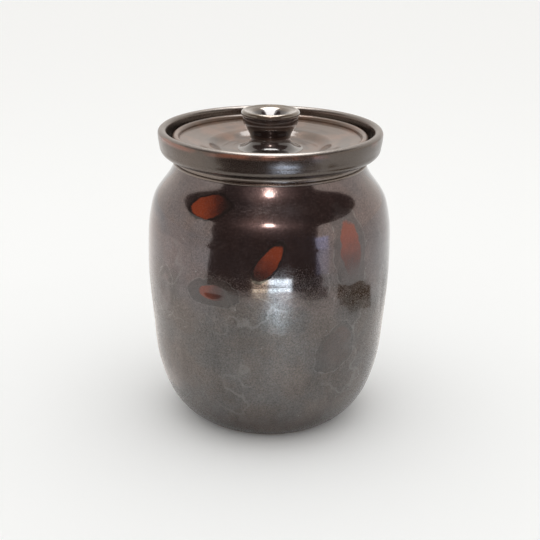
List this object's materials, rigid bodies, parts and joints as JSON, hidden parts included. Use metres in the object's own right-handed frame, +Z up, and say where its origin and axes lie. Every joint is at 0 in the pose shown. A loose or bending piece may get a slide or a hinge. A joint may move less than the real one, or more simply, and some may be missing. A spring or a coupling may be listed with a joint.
{
  "type": "onggi jar",
  "caption": "Lidded onggi storage jar of dark glazed earthenware, with a heavy rolled collar, a sunk gallery and a dished drop-in lid with a hollow knob.",
  "frame": {"origin": "centre of the flat foot, where the jar stands", "axes": "+Z up along the jar's axis of turning, -Y towards the viewer of the front"},
  "size_m": [0.1897, 0.1896, 0.2442],
  "materials": {
    "dark_glaze": "glossy bronze-black glaze with finger-wiped rust marks",
    "collar_glaze": "glossy brown-black glaze, thin and rusty along the edges",
    "lid_glaze": "satin brown glaze with throwing rings",
    "knob_glaze": "glossy dark brown glaze"
  },
  "bodies": {
    "jar": {"base_slab": "dark_glaze", "jar_wall": "dark_glaze", "rim_collar": "collar_glaze", "lid_ledge": "collar_glaze"},
    "lid": {"lid_plate": "lid_glaze", "lid_knob": "knob_glaze"}
  },
  "joints": [
    {"name": "lid_lift", "type": "slide", "parent": "jar", "child": "lid", "axis": [0, 0, 1], "range_m": [0, 0.08]}
  ]
}
